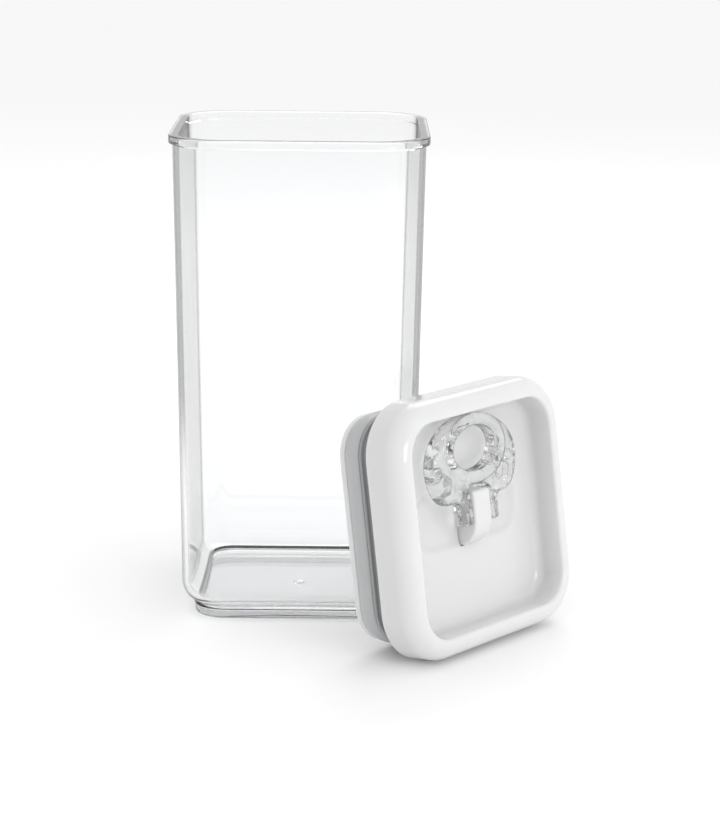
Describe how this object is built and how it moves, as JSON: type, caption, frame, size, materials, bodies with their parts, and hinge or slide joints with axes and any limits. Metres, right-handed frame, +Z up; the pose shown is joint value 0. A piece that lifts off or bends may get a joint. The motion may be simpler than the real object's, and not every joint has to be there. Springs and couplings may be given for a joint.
{
  "type": "lidded storage canister",
  "caption": "Tall clear square canister standing open, with its white plug lid leaning on one corner; the lid has a clear flip-up finger ring and a squeezed gasket.",
  "frame": {"origin": "middle of the canister's foot, on the surface it stands on", "axes": "+Z up along the canister; the canister's front wall faces -Y"},
  "size_m": [0.1637, 0.1606, 0.1974],
  "materials": {
    "clear_plastic": "clear, polished",
    "clear_lever": "clear, polished",
    "white_gloss": "glossy white",
    "white_satin": "satin white",
    "silicone": "translucent grey, satin",
    "steel": "plated"
  },
  "bodies": {
    "canister": {"canister_body": "clear_plastic"},
    "lid": {"lid_cap": "white_gloss", "lid_liner": "white_satin", "sealing_gasket": "silicone"},
    "plunger": {"plunger_stem": "white_gloss", "pressure_plate": "white_gloss", "stem_screw_upper": "steel", "stem_screw_lower": "steel"},
    "lever": {"flip_lever": "clear_lever"}
  },
  "joints": [
    {"name": "lid_lift", "type": "slide", "parent": "canister", "child": "lid", "axis": [0.1744, -0.1744, 0.9691], "range_m": [0, 0.26]},
    {"name": "plunger_drop", "type": "slide", "parent": "lid", "child": "plunger", "axis": [-0.7348, 0.6616, -0.1495], "range_m": [0, 0.0008]},
    {"name": "lever_flip", "type": "hinge", "parent": "plunger", "child": "lever", "pos_m": [0.07241, -0.06657, 0.05099], "axis": [0.6691, 0.7431, 0], "range_deg": [0, 90]}
  ],
  "couplings": [
    {"joint": "lever_flip", "follows": "plunger_drop", "rad_per_m": 1963.5}
  ]
}
